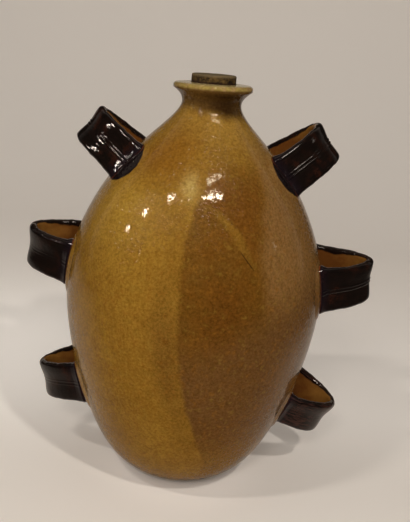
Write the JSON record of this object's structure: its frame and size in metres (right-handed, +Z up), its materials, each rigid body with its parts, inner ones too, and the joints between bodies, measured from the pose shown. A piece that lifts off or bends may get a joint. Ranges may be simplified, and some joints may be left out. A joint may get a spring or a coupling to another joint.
{
  "type": "vase",
  "caption": "Stoneware bottle vase: an egg-shaped amber body with a short flared neck, a pull-out cork, and dark strap handles standing out as loops on both sides.",
  "frame": {"origin": "centre of the flat foot, on the surface that the vase stands on", "axes": "+Z up along the body's own axis, +X towards the handles on the viewer's right, -Y towards the viewer"},
  "size_m": [0.3107, 0.2224, 0.3584],
  "materials": {
    "amber_glaze": "glossy speckled amber glaze",
    "dark_glaze": "glossy near-black brown glaze",
    "amber_clay": "glossy amber glaze over a smoothed clay coil",
    "cork": "dull aged cork"
  },
  "bodies": {
    "vessel": {"body": "amber_glaze", "handle_upper_left": "dark_glaze", "handle_upper_right": "dark_glaze", "handle_middle_left": "dark_glaze", "handle_middle_right": "dark_glaze", "handle_lower_left": "dark_glaze", "handle_lower_right": "dark_glaze", "joining_coil_upper_left_front": "amber_clay", "joining_coil_upper_left_back": "amber_clay", "joining_coil_upper_right_front": "amber_clay", "joining_coil_upper_right_back": "amber_clay", "joining_coil_middle_left_front": "amber_clay", "joining_coil_middle_left_back": "amber_clay", "joining_coil_middle_right_front": "amber_clay", "joining_coil_middle_right_back": "amber_clay", "joining_coil_lower_left_front": "amber_clay", "joining_coil_lower_left_back": "amber_clay", "joining_coil_lower_right_front": "amber_clay", "joining_coil_lower_right_back": "amber_clay"},
    "stopper": {"stopper": "cork"}
  },
  "joints": [
    {"name": "stopper_lift", "type": "slide", "parent": "vessel", "child": "stopper", "axis": [0, 0, 1], "range_m": [0, 0.06]}
  ]
}
